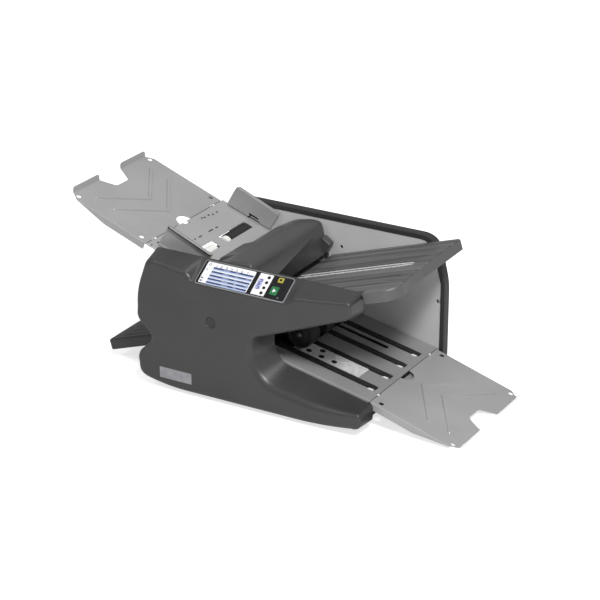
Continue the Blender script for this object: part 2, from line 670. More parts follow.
def brow_ring(y, share):
    """The brow's section at depth y. A share of 0 sinks it into the arch, 1 gives its full height."""
    low = 1 - share
    corners = [(-157 + 3 * low, 272.6, 1.2), (-149.5, 272.6, 1.2), (-141, 282, 2), (-112, 299, 2),
               (-106, 303.4, 0.5), (-148 + 3 * low, 287 - 4 * low, 6)]
    return at_depth(rounded(corners, 8), y)


def hood_solid(brow_y):
    """The arch with its lug and its brow, which rises over 4 mm at both of its ends."""
    arch = raw("hood_shell", drawn_ends(hood_section, *hood_y), True)
    y0, y1 = brow_y
    shares = [(y0, 0), (y0 + 1.5, 0.6), (y0 + 4, 1), (y1 - 4, 1), (y1 - 1.5, 0.6), (y1, 0)]
    brow = loft([brow_ring(y, share) for y, share in shares])
    lug = drawn_ends(hood_lug, hood_y[1] - LUG_WIDTH, hood_y[1], 6, 3)
    return cut(arch, brow, lug, operation="UNION")


hood = hood_solid((front_plate_y + 80, front_plate_y + 180))
print("hood arch", len(hood.data.polygons), "faces")

# %% [markdown]
# The arch is solid so far. A real one is an even wall with its underside open to the rollers, so a
# hollow and an open underside are cut out of it. Two ears at its ends take the hinge pin.

# %% Hood hollow and hinge ears
PIN_HOLE_R = 2.55
hollow = np.array([(-6.6, 230), (-6.6, 246), (-22, 317.5), (-45, 319.5), (-88, 309.5), (-138, 280),
                   (-146, 260)])
underside = np.array([(-200, 200), (30, 200), (30, 243), (-16, 243), (-24, 264), (-93, 284), (-131, 284),
                      (-139, 279.5), (-146, 279), (-151, 272), (-200, 265)])
cut(hood, prism(hollow, hood_y[0] + WALL, hood_y[1] - WALL))
cut(hood, prism(underside, hood_y[0] - 1, hood_y[1] + 1))
ear = rounded([(-14, 252, 1), (-13.4, 238, 5), (-8, 232.6, 5), (-2.6, 238, 5), (-4, 252, 1)], 6)
for y in (hood_y[0], hood_y[1] - WALL):
    cut(hood, prism(ear, y, y + WALL), operation="UNION")
cut(hood, rod(hood_pivot, PIN_HOLE_R, hood_y[0] - 2, hood_y[1] + 2, 32))
dress(hood, hood_abs, body="hood_cover", replaces=["hood"])

# %% [markdown]
# Fold tables. Each is a shallow moulded lid, 25 mm deep, with a soft edge. Its top carries long low
# ribs along the paper's travel. The top is a heightfield: rib heights are smooth bumps of the distance
# across, faded at both ends, so they catch long soft streaks of light instead of hard lines.

# %% Fold table shell
TABLE_DEPTH = 25.0
MOUTH_HALF_WIDTH = 141
RIB_FADE = 26.0
STRIP_SHARES = np.array([-1, -0.7, -0.35, 0, 0.35, 0.7, 1])
upper_outline = [(2, inner_front_y + 2, 3), (278, inner_front_y + 2, 4), (278, front_plate_y - 20, 4),
                 (336, front_plate_y - 20, 12), (361, front_plate_y + 4, 16), (353, front_plate_y + 52, 20),
                 (348, front_plate_y + 120, 10), (346, front_plate_y + 322, 8), (2, front_plate_y + 322, 3)]
lower_outline = [(-392, front_plate_y + 26, 8), (0, front_plate_y + 26, 3), (0, front_plate_y + 314, 3),
                 (-380, front_plate_y + 314, 14), (-392, front_plate_y + 302, 6)]


def rib(across, along, y, width, x0, x1, height):
    """height (cos^2 of the distance across) times a smooth fade over each end."""
    d = np.clip(np.abs(across - y) / width, 0, 1)
    ends = np.clip((along - x0) / RIB_FADE, 0, 1) * np.clip((x1 - along) / RIB_FADE, 0, 1)
    return height * np.cos(d * np.pi / 2) ** 2 * ends * ends * (3 - 2 * ends)


def ribbed_top(top_ring, ribs):
    """The lid filled with triangles on a grid of 44 stations by seven strips across each rib. The
    height of a point is the sum of its ribs' heights."""
    x0, x1 = top_ring[:, 0].min(), top_ring[:, 0].max()
    stations = np.linspace(x0, x1, 46)[1:-1]
    across = np.concatenate([y + STRIP_SHARES * width for y, width, *_ in ribs])
    grid = np.stack(np.meshgrid(stations, np.unique(np.round(across, 2))), -1).reshape(-1, 2)
    flat, triangles = blank([top_ring], (), grid[inside(grid, [inset(top_ring, 1.5)])])
    height = sum(rib(flat[:, 1], flat[:, 0], *shape) for shape in ribs)
    return np.column_stack([flat, height]), triangles.tolist()


def fold_table(name, corners, slot, mouth_x, ribs, edge, slope):
    """Outer wall and rounded edge as rings, the ribbed top, then the hollow, mouth and slot cut."""
    outline = rounded(corners, 8)
    arc = np.linspace(0, np.pi / 2, 7)
    rings = [at_height(outline, -TABLE_DEPTH), at_height(outline, -TABLE_DEPTH / 2)]
    rings += [at_height(inset(outline, edge * (1 - np.cos(a))), -edge * (1 - np.sin(a))) for a in arc]
    wall_points, wall_faces = loft(rings)
    open_wall = (wall_points, wall_faces[:-1])
    piece = raw(name, on_slope(together(open_wall, ribbed_top(inset(outline, edge), ribs)), slope), True)
    inner = slab(inset(outline, WALL), -TABLE_DEPTH - 1, -WALL)
    mouth_y = front_plate_y + 170
    mouth = box((mouth_x - 4, mouth_y - MOUTH_HALF_WIDTH, -TABLE_DEPTH - 1),
                (mouth_x + 4, mouth_y + MOUTH_HALF_WIDTH, -WALL))
    groove = slab(rectangle(slot[1] - slot[0], 6, 2.4, ((slot[0] + slot[1]) / 2, paper_y)), -WALL - 1, 5)
    return cut(piece, *(on_slope(p, slope) for p in (inner, mouth, groove)))


# %% [markdown]
# The upper table carries fourteen long ribs of unequal width, closer together near the rails. The
# lower one, which only shows at its end under the feed tray, has six narrow ones.

# %% Upper and lower fold tables
# Each rib has its distance from the paper's middle line, its half width, its start and end along the
# slope, and its height.
upper_ribs = [(-136, 7, 40, 262, 2.0), (-116, 8, 20, 318, 2.6), (-95, 8, 14, 334, 2.4),
              (-75, 7, 30, 338, 2.8), (-55, 8, 20, 336, 2.4), (-36, 7, 60, 328, 2.2),
              (-20, 5, 80, 316, 1.6), (20, 5, 80, 316, 1.6), (36, 7, 60, 328, 2.2),
              (55, 8, 20, 336, 2.6), (76, 7, 14, 336, 2.4), (96, 8, 14, 334, 2.8),
              (117, 8, 14, 330, 2.4), (138, 7, 30, 320, 2.2)]
lower_ribs = [(y, 6, -372, -14, 1.4) for y in (-110, -84, -58, 58, 84, 110)]
upper_ribs, lower_ribs = ([(paper_y + y, *rest) for y, *rest in ribs] for ribs in (upper_ribs, lower_ribs))

upper_table = fold_table("upper_fold_table_lid", upper_outline, (40, 300), 4, upper_ribs, 5.0, UPPER)
dress(upper_table, table_abs, replaces=["upper_fold_table"])
lower_table = fold_table("lower_fold_table_lid", lower_outline, (-340, -40), -2, lower_ribs, 5.0, LOWER)
dress(lower_table, lower_abs, replaces=["lower_fold_table"])

# %% [markdown]
# Two steel rails run along the slot of the upper table. Their edges are slightly wavy from forming and
# they draw together to a point at the top end.

# %% Rails
RAIL_FROM, RAIL_TO = 12.0, 310.0
RAIL_STEPS = 240


def rail(side):
    """A strip whose two edges carry small waves, half 2 mm wide and 2.5 mm high, with a round back.
    Over its last 40 mm it narrows and leans towards the middle."""
    x = np.linspace(RAIL_FROM, RAIL_TO, RAIL_STEPS)
    wave = 0.35 * np.sin(x / 2.3) + 0.25 * np.sin(x / 3.7 + side)
    tip = np.clip((RAIL_TO - x) / 40, 0, 1)
    half = (1.9 + 0.9 * wave) * (0.25 + 0.75 * np.sqrt(tip))
    middle = side * (5.0 + 3.2 * tip) + 0.2 * np.sin(x / 5.1)
    a = np.linspace(-1, 1, 7)
    y = paper_y + middle[:, None] + half[:, None] * np.concatenate([[-1], a, [1]])
    z = np.concatenate([[0.0], 2.3 - 1.1 * a * a, [0.0]]) + np.zeros((RAIL_STEPS, 1))
    return loft(np.stack([np.broadcast_to(x[:, None], y.shape), y, z], -1))


rails = raw("serrated_upper_rails", on_slope(together(rail(-1), rail(1)), UPPER))
dress(rails, rail_steel, replaces=["upper_rails"], sharp=50)

# %% [markdown]
# Trays. Both paper trays are the same pressed sheet: two V-shaped ribs, a hole for the finger, a notch
# for the thumb, two end lips bent up and two side edges bent down. The feed tray is the mirror image,
# hung on the other hinge.

# %% Tray blank
SHEET = 1.5
TRAY_W, TRAY_L = 317.0, 219.0
BEND = 2.2
SIDE_DROP = 17.0
LIP_ANGLE, LIP_BEND, LIP_RUN = 66.0, 1.6, 13.2
LIP_FROM = TRAY_L - 3
RIB_HALF, RIB_HEIGHT = 4.4, 3.0
RIB_SPREAD = 111.0
FINGER_R, CORNER_HOLE_R = 21, 5.7
SHOULDER_DROP = BEND + 0.4
hinge_v = (37.0, 280.0)
# Each V rib has its apex on the tray's middle line and its legs' ends, both as distances along the tray.
TRAY_RIBS = [(48.0, 123.7), (101.0, 176.5)]


def edge_reach(drop):
    """Distance past the bend line of a side edge that hangs down by the drop."""
    return BEND * math.pi / 2 + drop - BEND


def tray_loops():
    """The punched outline with its two side edges and two end lips laid flat, and its four holes."""
    low, lip_w = BEND - edge_reach(SIDE_DROP), 100.5
    corner = BEND - edge_reach(SHOULDER_DROP)
    lip_top = LIP_FROM + LIP_BEND * math.radians(LIP_ANGLE) + LIP_RUN
    half = TRAY_W / 2
    one_side = [(0.8, corner, 0.2), (3, corner, 0.2), (3, low, 1.5), (TRAY_L - 105, low, 6),
                (TRAY_L - 27, corner, 3), (TRAY_L - 22, corner + 2, 2), (LIP_FROM, 14.5, 2),
                (lip_top - 4, 14.5, 1.5), (lip_top, 18.5, 2.5), (lip_top, 11 + lip_w, 2.5),
                (lip_top - 4, 15 + lip_w, 1.5), (LIP_FROM, 15 + lip_w, 1.0), (TRAY_L - 39, half - 24, 8)]
    other = [(u, TRAY_W - v, r) for u, v, r in one_side[::-1]]
    holes = [circle(CORNER_HOLE_R, (u, v)) for u in (21.5, TRAY_L - 16.6) for v in (14.6, TRAY_W - 14.6)]
    return [rounded(one_side + other, 5), *holes]


def rib_distance(flat, apex, reach):
    """Distance from each point to a V whose apex is at (apex, middle) and whose legs end at reach."""
    half = TRAY_W / 2
    q = np.column_stack([flat[:, 0], half + np.abs(flat[:, 1] - half)])
    start, run = np.array([apex, half]), np.array([reach - apex, RIB_SPREAD])
    t = np.clip(((q - start) @ run) / (run @ run), 0, 1)
    return np.linalg.norm(q - start - t[:, None] * run, axis=1)


def rib_points():
    """Points along the legs of both ribs at several distances to each side."""
    found = []
    for apex, reach in TRAY_RIBS:
        run = np.array([reach - apex, RIB_SPREAD])
        step = unit(run[None])[0]
        left = np.array([-step[1], step[0]])
        t = np.linspace(-0.03, 1.04, 48)[:, None, None]
        d = np.array([-1.05, -1, -0.85, -0.7, -0.3, 0.3, 0.7, 0.85, 1, 1.05])[None, :, None] * RIB_HALF
        leg = (np.array([apex, TRAY_W / 2]) + t * run + d * left).reshape(-1, 2)
        leg = leg[leg[:, 1] > TRAY_W / 2 + 0.4]
        found += [leg, np.column_stack([leg[:, 0], TRAY_W - leg[:, 1]])]
    return np.concatenate(found)


def tray_shape(flat):
    """Presses the ribs, turns the side edges down and the end lips up."""
    u, v = flat.T
    w = np.zeros(len(flat))
    for apex, reach in TRAY_RIBS:
        t = np.clip((RIB_HALF - rib_distance(flat, apex, reach)) / (0.3 * RIB_HALF), 0, 1)
        w += RIB_HEIGHT * t * t * (3 - 2 * t)
    out_near, drop_near = fold(BEND - v, 90, BEND)
    out_far, drop_far = fold(v - (TRAY_W - BEND), 90, BEND)
    v = np.where(v < BEND, BEND - out_near, np.where(v > TRAY_W - BEND, TRAY_W - BEND + out_far, v))
    along, rise = fold(u - LIP_FROM, LIP_ANGLE, LIP_BEND)
    return np.column_stack([LIP_FROM + along, v, w - drop_near - drop_far + rise])


def tray_lines():
    """Edges that the bends need: along both sides and across the lips."""
    far = TRAY_L + 30
    sides = [v for d in bend_lines(90, BEND) for v in (BEND - d, TRAY_W - BEND + d)]
    lips = [LIP_FROM + d for d in bend_lines(LIP_ANGLE, LIP_BEND)]
    return [[(-5, v), (far, v)] for v in sides] + [[(u, -40), (u, TRAY_W + 40)] for u in lips]


print("tray blank", np.ptp(tray_loops()[0], axis=0).round(1), "mm")

# %% [markdown]
# The finger hole and the hinge notches cross the hinge edge, so they are cut from the pressed tray
# with short cutters. The rest of the holes are loops of the blank. Short nylon knuckles sit between
# the notches, round the hinge pin.

# %% Tray pieces
NOTCH_W, NOTCH_L = 5.6, 7.2
PIN_BORE_R = 1.55


def through(outline):
    """A cutter with the outline that reaches 8 mm above and below a sheet."""
    return slab(outline, -8, 8)


def tray(name, slope, body, node):
    """One tray: the pressed sheet, its open holes and its hinge knuckles."""
    points, faces = pressed(tray_loops(), tray_shape, SHEET, tray_lines(), rib_points())
    piece = raw(name, on_slope((points + np.array([0, tray_front_y, 0]), faces), slope))
    middle = tray_front_y + TRAY_W / 2 + 3
    cutters = [through(circle(FINGER_R, (0, middle), 64))]
    cutters += [through(rectangle(NOTCH_L, NOTCH_W, 0.6, (0, tray_front_y + v + NOTCH_W * s)))
                for v in hinge_v for s in (-1, 1)]
    cut(piece, *(on_slope(c, slope) for c in cutters))
    hinge = (slope[0][0], slope[0][1] - 1)
    knuckles = [turned([(3, y - 2.5), (3, y + 2.5), (PIN_BORE_R, y + 2.5), (PIN_BORE_R, y - 2.5)],
                       hinge, 32, True) for y in (tray_front_y + v for v in hinge_v)]
    eyes = raw(name + "_knuckles", together(*knuckles))
    dress(eyes, roller_nylon, body=body, sharp=40)
    dress(piece, sheet_coat, body=body, replaces=[node], sharp=40)


tray("feed_tray_sheet", FEED_TRAY, "feed_tray", "feed_extension")
tray("exit_tray_sheet", EXIT_TRAY, "exit_tray", "exit_extension")

# %% [markdown]
# The feed table is the same kind of sheet, and so is the deck under the belts. Both lie between the
# side plates and have both long edges bent down, so one set of helpers lays out their edges.

# %% Side edges of the tables
near_y, far_y = inner_front_y + 0.3, inner_rear_y - 0.3
KNUCKLE_SLOT_W = 6.2


def edge_pair(drop):
    """The y of both long edges of a flat blank whose side edges will hang down by the drop."""
    reach = edge_reach(drop)
    return near_y + BEND - reach, far_y - BEND + reach


def side_bends(flat):
    """Turns both long edges of a sheet down over the bend radius."""
    u, v = flat.T
    near_line, far_line = near_y + BEND, far_y - BEND
    out_near, drop_near = fold(near_line - v, 90, BEND)
    out_far, drop_far = fold(v - far_line, 90, BEND)
    v = np.where(v < near_line, near_line - out_near, np.where(v > far_line, far_line + out_far, v))
    return np.column_stack([u, v, -drop_near - drop_far])


def side_lines(x0, x1):
    """Bend lines along both long edges."""
    places = [v for d in bend_lines(90, BEND) for v in (near_y + BEND - d, far_y - BEND + d)]
    return [[(x0, v), (x1, v)] for v in places]


def hinge_slots():
    """Cutters for the knuckles of the tray that hangs on a table."""
    return [through(rectangle(NOTCH_L, KNUCKLE_SLOT_W, 0.6, (0, tray_front_y + v))) for v in hinge_v]


print("table width", round(far_y - near_y, 1), "mm")

# %% [markdown]
# Windows in the feed table let the rollers through from below. At the hinge it has a half-round hole
# that meets the one in the tray, so that a finger can lift the last sheet.

# %% Feed table
TABLE_L = 236.0
PICKUP_ALONG = 97
pickup_slots = [(103, 149), (178, 289)]


def feed_table_part():
    """The blank's outline with its tongue and side edges, and its three windows."""
    low, high = edge_pair(SIDE_DROP)
    near_edge, far_edge = edge_pair(SHOULDER_DROP)
    outline = rounded([(0.8, tray_front_y, 0.5), (29, tray_front_y, 1), (30, near_edge, 0.5),
                       (36, near_edge, 0.5), (36, low, 2), (TABLE_L, low, 2), (TABLE_L, high, 2),
                       (3, high, 2), (3, far_edge, 0.3), (0.8, far_edge, 0.3)], 4)
    windows = [rectangle(26, b - a, 1.2, (PICKUP_ALONG, front_plate_y + (a + b) / 2))
               for a, b in pickup_slots]
    windows.append(rectangle(32, 48, 1.5, (212, paper_y)))
    return pressed([outline, *windows], side_bends, SHEET, side_lines(-5, TABLE_L + 5))


feed_table = raw("feed_table_sheet", on_slope(feed_table_part(), FEED))
half_round = through(circle(9, (0, paper_y), 40))
cut(feed_table, *(on_slope(c, FEED) for c in (half_round, *hinge_slots())))
dress(feed_table, table_coat, replaces=["feed_table"], sharp=40)

# %% [markdown]
# Side guides. Each is a strip bent twice: a foot that lies on the table, an upright blade and a turned
# top edge. The blank is laid out along its own bent section, so a length along the strip is a length
# along a path with round corners. The blade is a little lower downstream, under the hood.

# %% Guides
GUIDE_H = 55.0
GUIDE_FOOT = 9.0
GUIDE_BEND = 1.6
GUIDE_FLOAT = 0.3
GUIDE_DROP = 0.12
GUIDE_FROM, GUIDE_RUN = 29, 122
guide_front_y, guide_rear_y = front_plate_y + 30, front_plate_y + 313


def guide(name, y_face, side, body, node):
    """The strip's section runs in along the foot, up the blade and out along the top edge: straight
    stretches joined by two quarter circles. Its height shrinks evenly by the drop along the run."""
    quarter = GUIDE_BEND * math.pi / 2
    foot = GUIDE_FOOT - GUIDE_BEND
    rise = GUIDE_H - GUIDE_FLOAT - 2 * GUIDE_BEND
    s1, s2 = foot + quarter, foot + quarter + rise
    s_end = s2 + quarter + foot

    def shape(flat):
        u, s = flat.T
        a = np.clip((s - foot) / GUIDE_BEND, 0, np.pi / 2)
        b = np.clip((s - s2) / GUIDE_BEND, 0, np.pi / 2)
        out = foot - np.minimum(s, foot) - GUIDE_BEND * np.sin(a) + GUIDE_BEND
        out += GUIDE_BEND * (1 - np.cos(b)) + np.maximum(s - s2 - quarter, 0)
        up = GUIDE_BEND * (1 - np.cos(a)) + np.clip(s - s1, 0, rise) + GUIDE_BEND * np.sin(b)
        lowered = 1 - GUIDE_DROP * np.clip((u - GUIDE_FROM) / GUIDE_RUN, 0, 1)
        return np.column_stack([u, out, up * lowered])

    outline = rounded([(20, 0, 3), (80, 0, 3), (82, s1 + 2.5, 2), (112, s1 + 2.5, 2), (114, 0, 3),
                       (138, 0, 3), (142, s1, 2), (151, s2, 1), (149, s_end, 3), (33, s_end, 3),
                       (27, s2 - 4, 9), (19, s1 + 4, 4)], 5)
    lines = [[(0, base + d), (170, base + d)] for base in (foot, s2) for d in np.linspace(0, quarter, 5)]
    points, faces = pressed([outline], shape, SHEET, lines)
    points = points * np.array([1, side, 1]) + np.array([0, y_face, GUIDE_FLOAT + SHEET])
    piece = raw(name, on_slope((points, faces), FEED))
    dress(piece, guide_coat, body=body, replaces=[node], sharp=40)


guide("rear_guide_sheet", guide_rear_y, 1, "rear_guide", "guide_rear")
guide("front_guide_sheet", guide_front_y, -1, "front_guide", "guide_front")

# %% [markdown]
# The conveyor deck is a sheet slit into five strips for the four belts. A long round-ended slot lies
# between the last two belts.

# %% Conveyor deck
BELT_W, BELT_T = 15.0, 2.0
belts_y = [front_plate_y + 58 + 68 * i for i in range(4)]
DECK_L = 275.0
DECK_DROP = 20


def deck_part():
    """Slits open at the upstream end, so the outline runs down and up between the strips."""
    low, high = edge_pair(DECK_DROP)
    near_edge, far_edge = edge_pair(SHOULDER_DROP)
    half = (BELT_W + 7) / 2
    corners = [(-DECK_L, near_edge, 0.5), (-255, near_edge, 0.5), (-255, low, 2), (-4, low, 2),
               (-4, near_edge, 0.3), (-0.8, near_edge, 0.3), (-0.8, far_edge, 0.3), (-4, far_edge, 0.3),
               (-4, high, 2), (-255, high, 2), (-255, far_edge, 0.5), (-DECK_L, far_edge, 0.5)]
    # Where each of the five strips ends, from the near one to the far one.
    strip_ends = [-DECK_L, -236, -236, -DECK_L, -DECK_L]
    for i in (3, 2, 1, 0):
        y = belts_y[i]
        corners += [(strip_ends[i + 1], y + half, 0.8), (-14, y + half, 6), (-14, y - half, 6),
                    (strip_ends[i], y - half, 0.8)]
    slot = rectangle(140, 13, 6.0, (-152, belts_y[2] + 40.5), 8)
    return pressed([rounded(corners, 4), slot], side_bends, SHEET, side_lines(-DECK_L - 5, 5))


deck = raw("conveyor_deck_sheet", on_slope(deck_part(), DECK))
cut(deck, *(on_slope(c, DECK) for c in hinge_slots()))
dress(deck, deck_coat, replaces=["conveyor_deck"], sharp=40)

# %% [markdown]
# The bright plate beside the first belt is a separate wear strip with four holes. It lies on the deck,
# so its blank only needs its height and its thickness.

# %% Wear plate
plate_y = belts_y[0] + 34
plate_hole_at = [(x, plate_y + y) for x, y in [(-203, -10), (-180, 12), (-170, -11), (-138, -9)]]
plate_loops = [rectangle(152, 47, 1.5, (-143, plate_y)), *[circle(3.5, p, 24) for p in plate_hole_at]]
wear_plate = pressed(plate_loops, lambda flat: at_height(flat, 1.2), 1.15)
wear_plate = raw("wear_plate_sheet", on_slope(wear_plate, DECK))
dress(wear_plate, deck_steel, replaces=["deck_plate"], sharp=40)

# %% [markdown]
# Belts. A flat belt is a rectangle with softened corners carried round two drums: two half turns joined
# by two straight runs, whose directions lean because one drum is smaller.

# %% Delivery belts
DRIVE_R, END_R, FIT = 12.0, 6.0, 0.3
DRIVE_STEPS, END_STEPS = 28, 22


def belt(y, a, ra, b, rb):
    """Points at radius r + the section's height on two arcs that meet the tangent lines."""
    run = np.array(b) - np.array(a)
    heading = math.atan2(run[1], run[0])
    lean = math.acos((ra - rb) / np.linalg.norm(run))
    first = np.linspace(heading + lean, heading + 2 * np.pi - lean, DRIVE_STEPS)
    second = np.linspace(heading - lean, heading + lean, END_STEPS)
    angle = np.concatenate([first, second])
    centre = np.repeat([a, b], [DRIVE_STEPS, END_STEPS], 0)
    radius = np.repeat([ra, rb], [DRIVE_STEPS, END_STEPS])
    section = rectangle(BELT_W, BELT_T, 0.5, (0, BELT_T / 2), 3)
    r = radius[:, None] + section[None, :, 1]
    x = centre[:, :1] + r * np.cos(angle)[:, None]
    z = centre[:, 1:] + r * np.sin(angle)[:, None]
    return loft(np.stack([x, np.broadcast_to(y + section[None, :, 0], x.shape), z], -1), closed=True)


drive_at = slope_point(DECK, -268, 1 - DRIVE_R - BELT_T)
end_at = slope_point(DECK, -24.5, 1 - END_R - BELT_T)
four_belts = [belt(y, drive_at, DRIVE_R + FIT, end_at, END_R + FIT) for y in belts_y]
dress(raw("delivery_belts", together(*four_belts)), belt_rubber,
      replaces=["conveyor_belts"], sharp=50)

# %% [markdown]
# Control panel. A moulded frame stands on the bevel: its outer half is painted light, its inner lip is
# a dark gasket that presses on the film. Both are one ring of a small section carried round the outline.

# %% Panel frame and gasket
OVERLAY_TOP = 1.6
PANEL_CORNER = 6.0


def frame_ring(section):
    """Carries (inset, height) pairs round the panel's rounded outline and closes the ring."""
    outline = rectangle(panel_w, panel_h, PANEL_CORNER, steps=8)
    return loft([at_height(inset(outline, d), z) for d, z in section], closed=True)


frame_section = [(0, 0), (0, 1.5), (0.3, 2.1), (0.9, 2.4), (1.6, 2.4), (2.0, 2.1), (2.1, 0)]
gasket_section = [(2.15, 0), (2.15, 2.0), (2.6, 2.2), (3.2, 2.0), (3.5, 1.65), (3.5, 0)]
panel_frame = raw("panel_frame", on_panel(frame_ring(frame_section)))
dress(panel_frame, bezel_abs, replaces=["control_panel"], sharp=60)
gasket = raw("panel_gasket", on_panel(frame_ring(gasket_section)))
dress(gasket, film_black, sharp=60)

# %% [markdown]
# Printed film. Each ink is a very thin layer on the film, stacked like the passes of a screen printer.
# Flat geometry keeps the prints sharp at any distance, which an image would not. Digits are made of
# seven bars, as on the display, and all the signs are generic.

# %% Digits and print layers
INK = 0.06
BARS = {"1": "bc", "2": "abged", "3": "abgcd", "4": "fgbc", "5": "afgcd", "6": "afgedc", "7": "abc"}


def bar(x0, y0, x1, y1, width=0.0):
    """The corners of a flat bar between two points, or of a rectangle when the width is zero."""
    if not width:
        return np.array([(x0, y0), (x1, y0), (x1, y1), (x0, y1)], float)
    run = unit(np.array([[x1 - x0, y1 - y0]], float))[0]
    side = np.array([-run[1], run[0]]) * width / 2
    a, b = np.array([x0, y0]), np.array([x1, y1])
    return np.array([a - side, b - side, b + side, a + side])


def digit(mark, x, y, height):
    """Seven-bar digit: the bars a to g of a box half as wide as it is high."""
    w, h, t = height * 0.25, height / 2, height * 0.17
    place = {"a": (-w, h, w, h), "b": (w, h, w, 0), "c": (w, 0, w, -h), "d": (-w, -h, w, -h),
             "e": (-w, 0, -w, -h), "f": (-w, h, -w, 0), "g": (-w, 0, w, 0)}
    return [bar(x + a, y + b, x + c, y + d, t) for a, b, c, d in (place[k] for k in BARS[mark])]


def printed(name, outlines, finish, layer=0, carry=on_panel, base=OVERLAY_TOP):
    """A print: flat outlines one ink layer thick, stacked above the base by their layer number."""
    z = base + INK * layer
    piece = raw(name, carry(together(*[slab(o, z, z + INK) for o in outlines])))
    dress(piece, finish, sharp=30)


def field(name, outline, holes, finish):
    """A printed field with openings, filled with triangles."""
    part = pressed([outline, *holes], lambda flat: at_height(flat, OVERLAY_TOP + INK), INK)
    dress(raw(name, on_panel(part)), finish, sharp=30)


print("ink layer", INK, "mm, digits", "".join(BARS))

# %% [markdown]
# The left part of the film is a white chart: header digits over five rows, each part sky and part
# slate with a few short bars, and plain symbols beside the rows. The right part is a white field round
# the display and the four small keys.

# %% Chart and display
KEY_TOP = 2.8
start_at, stop_at = (79, -8.2), (82, 21)
set_keys = [(52, 21.5 - 13.9 * i) for i in range(4)]
display_at, display_size = (37, 1), (13, 28)
display_x = display_at[0]
row_x = (-86, 15.5)
row_y = [13.4, 3.1, -6.9, -16.0, -25.0]
word_x = [(-60, -44), (-30, -22), (-2, 9)]
symbol_at = (-97.6, 22.3)

printed("chart_white_print", [rectangle(122.5, 56.7, 2.5, (-43.75, 0.35))], ink_white)
holes = [circle(4.0, p) for p in set_keys] + [rectangle(*display_size, 0.3, display_at)]
field("key_field_white_print", rectangle(33, 56.5, 1.5, (44.5, 0.75)), holes, ink_white)
printed("row_sky_print", [bar(row_x[0], y - 3.8, row_x[1], y - 0.4) for y in row_y], ink_sky, 1)
printed("row_slate_print", [bar(row_x[0], y - 0.4, row_x[1], y + 4.0) for y in row_y], ink_slate, 1)
words = [bar(a + 3 * k, y + 0.8, b + 3 * k, y + 2.2)
         for k, y in enumerate(row_y) for a, b in word_x[:2 + k % 2]]
printed("row_word_print", words, ink_sky, 2)
header = [part for i in range(7) for part in digit(str(i + 1), -82 + 13.2 * i, 20.6, 5.6)]
header += [bar(-103, y - 1.6, -97.5, y + 1.6) for y in (-15.3, -22.7)]
printed("chart_mark_print", header, ink_slate, 2)
star = rounded(np.column_stack([circle(3.4, symbol_at, 12), np.full(12, 0.6)]), 3)
printed("chart_symbol_print", [star], ink_slate, 2)
printed("chart_symbol_core", [circle(2.2, symbol_at, 24)], ink_white, 3)
printed("chart_symbol_pale", [circle(2.6, (-99.4, 7.7), 24)], ink_sky, 2)
display_digits = digit("2", display_x, 7.4, 10.5) + digit("5", display_x, -5.8, 10.5)
printed("display_digits", display_digits, ink_violet, 2)
stop_mark = bar(79.2, 18.2, 84.8, 23.8)
start_mark = np.array([(76, -13), (84, -8.2), (76, -3.4)], float)
printed("stop_key_mark", [stop_mark], film_black, 0, on_panel, KEY_TOP + 0.01)
printed("start_key_mark", [start_mark], ink_white, 0, on_panel, KEY_TOP + 0.01)

# %% [markdown]
# Keys. The two large keys are square caps with soft edges, the four small ones are round. Every cap
# stands on a stem that reaches for the switch on the board. A small pale dome covers the run lamp.

# %% Keys
def key(name, outline, edge, stem_r, at, finish, slot, body, node):
    """Cap with a rounded upper edge, and its stem."""
    cap = slab(outline, -0.2, KEY_TOP, edge)
    stem = slab(circle(stem_r, at, 20), -3.8, 0.2)
    piece = raw(name, on_panel(together(cap, stem)))
    dress(piece, finish, body=body, replaces=[node], sharp=50)


key("start_key_cap", rectangle(18, 22, 1.8, start_at), 0.7, 2, start_at,
    key_green, "key_green", "start_button", "start_key")
key("stop_key_cap", rectangle(13, 13, 1.8, stop_at), 0.7, 2, stop_at,
    key_yellow, "key_yellow", "stop_button", "stop_key")
for i, at in enumerate(set_keys):
    key(f"set_key_cap_{i + 1}", circle(3.6, at, 32), 0.6, 1.5, at,
        key_black, "key_black", f"set_button_{i + 1}", f"set_key_{i + 1}")
lamp_at = (94.6, -23.3)
lamp_profile = [(1.6, 1.5), (1.6, 1.8), (1.2, 2.2), (0.5, 2.4)]
lens = loft([at_height(circle(r, lamp_at, 20), z) for r, z in lamp_profile])
dress(raw("run_lamp_lens", on_panel(lens)), bezel_abs, sharp=60)

# %% [markdown]
# Fixings and feet. The screws are zinc-plated with a rounded head and a cross recess. Each foot is a
# turned rubber cone with a soft lower edge and a small ring where it meets the pan.

# %% Screws and feet
screw_head = [(3.9, -1.5), (3.9, -0.9), (3.4, -0.5), (2.2, -0.28), (0.3, -0.22)]
screw_head = [(r, rear_y + y) for r, y in screw_head]
heads = raw("cover_screw_heads", together(*[turned(screw_head, p, 32) for p in screw_at]), True)
# Half the width and half the length of each bar of the cross recess.
RECESS = (0.45, 2.1)
for a, b in (RECESS, RECESS[::-1]):
    bars = [box((x - a, rear_y - 1.0, z - b), (x + a, rear_y + 1, z + b)) for x, z in screw_at]
    cut(heads, together(*bars))
dress(heads, screw_zinc, replaces=["cover_screws"], sharp=40)

foot_profile = [(9.6, 0), (10.6, 0.35), (11.1, 1.2), (12.6, 9.4), (12.6, 10.6), (13, 10.9), (13, 12)]
feet = [loft([at_height(circle(r, (x, y), 40), z) for r, z in foot_profile])
        for x in (-225, 205) for y in (inner_front_y + 30, inner_rear_y - 30)]
dress(raw("turned_rubber_feet", together(*feet)), foot_rubber,
      replaces=["rubber_feet"], sharp=50)

# %% [markdown]
# Feed rollers. Two rollers sit on one shaft. The near one and the near end of the far one are white
# nylon, and the rest is black rubber with fine grooves that were ground round it.

